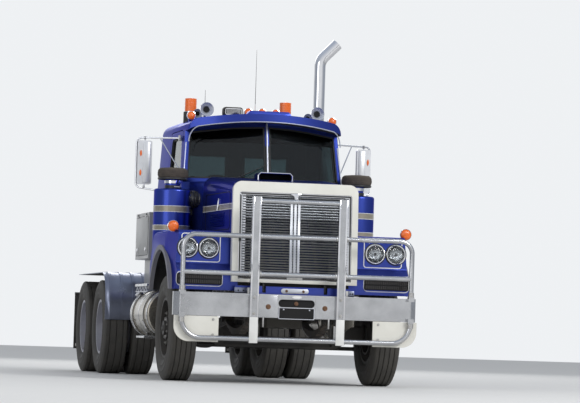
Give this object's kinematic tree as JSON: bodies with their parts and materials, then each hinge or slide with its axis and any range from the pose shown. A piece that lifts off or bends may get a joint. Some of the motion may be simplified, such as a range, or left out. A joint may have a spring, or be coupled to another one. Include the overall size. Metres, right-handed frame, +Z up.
{
  "type": "semi truck tractor unit",
  "caption": "Bonneted semi truck tractor unit with tilting bonnet, folding bull bar, opening doors, steered front wheels, tandem rear axles and a coupling plate.",
  "frame": {"origin": "on the ground under the middle of the truck, halfway along its length", "axes": "+Z up, nose towards -Y, truck's right-hand side towards -X"},
  "size_m": [2.542, 7.27, 3.7695],
  "materials": {
    "chassis_black": "satin black chassis paint",
    "cast_black": "rough black casting",
    "spring_steel": "dull black spring steel",
    "engine_paint": "dusty engine paint",
    "body_blue": "deep metallic blue gloss",
    "off_white": "off-white gloss",
    "glass": "tinted safety glass",
    "trim_dark": "dark grained trim",
    "seat_cloth": "dark woven cloth",
    "amber": "amber lens",
    "red_lens": "red lens",
    "chrome": "polished chrome",
    "polished": "polished aluminium",
    "galvanised": "blue-grey metallic sheet",
    "grey_paint": "grey gloss",
    "rubber": "matt black rubber",
    "tyre": "worn black tyre rubber",
    "dark_grille": "dark fins in a bright frame",
    "wheel_black": "black spider casting",
    "wheel_silver": "silver-grey rim paint",
    "mirror_silver": "silver housing",
    "plate_steel": "greased steel plate"
  },
  "bodies": {
    "chassis": {"frame": "chassis_black", "front_axle": "cast_black", "suspension": "spring_steel", "rear_axles": "cast_black", "engine": "engine_paint", "driveline": "cast_black", "radiator": "chassis_black", "cab_shell": "body_blue", "cab_glass": "glass", "dashboard": "trim_dark", "seats": "seat_cloth", "roof_lamps": "amber", "air_horns": "chrome", "exhaust": "chrome", "air_cleaners": "body_blue", "intake_ducts": "rubber", "fuel_tanks": "chassis_black", "steps": "polished", "mudguards": "galvanised", "mudflaps": "rubber", "fifth_wheel": "plate_steel", "rear_locker": "grey_paint", "battery_box": "chassis_black", "air_tanks": "chassis_black", "tail_lamps": "red_lens"},
    "hood": {"hood_shell": "body_blue", "grille_surround": "off_white", "grille": "dark_grille", "fenders": "body_blue", "headlamps": "chrome", "signal_lamps": "amber"},
    "bull_bar": {"bumper": "polished", "bull_bar_frame": "polished", "corner_plates": "off_white"},
    "track_rod": {"track_rod": "chassis_black"},
    "steering_wheel": {"steering_wheel": "trim_dark"},
    "door_right": {"door_right": "body_blue", "door_glass_right": "glass", "mirror_right": "mirror_silver"},
    "knuckle_right": {"knuckle_right": "cast_black"},
    "front_wheel_right": {"tyre_front_right": "tyre", "wheel_front_right": "wheel_black"},
    "rear_wheels_1_right": {"tyres_rear_1_right": "tyre", "wheel_rear_1_right": "wheel_silver"},
    "rear_wheels_2_right": {"tyres_rear_2_right": "tyre", "wheel_rear_2_right": "wheel_silver"},
    "door_left": {"door_left": "body_blue", "door_glass_left": "glass", "mirror_left": "mirror_silver"},
    "knuckle_left": {"knuckle_left": "cast_black"},
    "front_wheel_left": {"tyre_front_left": "tyre", "wheel_front_left": "wheel_black"},
    "rear_wheels_1_left": {"tyres_rear_1_left": "tyre", "wheel_rear_1_left": "wheel_silver"},
    "rear_wheels_2_left": {"tyres_rear_2_left": "tyre", "wheel_rear_2_left": "wheel_silver"}
  },
  "joints": [
    {"name": "hood_tilt", "type": "hinge", "parent": "chassis", "child": "hood", "pos_m": [0, -3.4225, 0.92], "axis": [1, 0, 0], "range_deg": [0, 60]},
    {"name": "bull_bar_fold", "type": "hinge", "parent": "chassis", "child": "bull_bar", "pos_m": [0, -3.5025, 0.5], "axis": [1, 0, 0], "range_deg": [0, 90]},
    {"name": "door_swing_right", "type": "hinge", "parent": "chassis", "child": "door_right", "pos_m": [-0.864, -1.5465, 1.6], "axis": [0, 0, 1], "range_deg": [0, 65]},
    {"name": "steer_right", "type": "hinge", "parent": "chassis", "child": "knuckle_right", "pos_m": [-0.87, -2.6425, 0.525], "axis": [0, 0, 1], "range_deg": [-35, 35]},
    {"name": "front_wheel_spin_right", "type": "hinge", "parent": "knuckle_right", "child": "front_wheel_right", "pos_m": [-1.037, -2.6425, 0.525], "axis": [1, 0, 0], "continuous": true},
    {"name": "rear_wheel_spin_1_right", "type": "hinge", "parent": "chassis", "child": "rear_wheels_1_right", "pos_m": [-0.92, 1.5875, 0.525], "axis": [1, 0, 0], "continuous": true},
    {"name": "rear_wheel_spin_2_right", "type": "hinge", "parent": "chassis", "child": "rear_wheels_2_right", "pos_m": [-0.92, 2.9075, 0.525], "axis": [1, 0, 0], "continuous": true},
    {"name": "door_swing_left", "type": "hinge", "parent": "chassis", "child": "door_left", "pos_m": [0.864, -1.5465, 1.6], "axis": [0, 0, -1], "range_deg": [0, 65]},
    {"name": "steer_left", "type": "hinge", "parent": "chassis", "child": "knuckle_left", "pos_m": [0.87, -2.6425, 0.525], "axis": [0, 0, 1], "range_deg": [-35, 35]},
    {"name": "front_wheel_spin_left", "type": "hinge", "parent": "knuckle_left", "child": "front_wheel_left", "pos_m": [1.037, -2.6425, 0.525], "axis": [1, 0, 0], "continuous": true},
    {"name": "rear_wheel_spin_1_left", "type": "hinge", "parent": "chassis", "child": "rear_wheels_1_left", "pos_m": [0.92, 1.5875, 0.525], "axis": [1, 0, 0], "continuous": true},
    {"name": "rear_wheel_spin_2_left", "type": "hinge", "parent": "chassis", "child": "rear_wheels_2_left", "pos_m": [0.92, 2.9075, 0.525], "axis": [1, 0, 0], "continuous": true},
    {"name": "track_rod_pivot", "type": "hinge", "parent": "knuckle_right", "child": "track_rod", "pos_m": [-0.87, -2.4225, 0.369], "axis": [0, 0, 1], "range_deg": [-36, 36]},
    {"name": "steering_wheel_turn", "type": "hinge", "parent": "chassis", "child": "steering_wheel", "pos_m": [-0.4, -1.0425, 1.965], "axis": [0, 0.7498, 0.6616], "range_deg": [-640, 640]}
  ],
  "couplings": [
    {"joint": "bull_bar_fold", "follows": "hood_tilt", "ratio": 1.5},
    {"joint": "steer_left", "follows": "steer_right", "ratio": 1},
    {"joint": "track_rod_pivot", "follows": "steer_right", "ratio": -1},
    {"joint": "steering_wheel_turn", "follows": "steer_right", "ratio": 18}
  ]
}
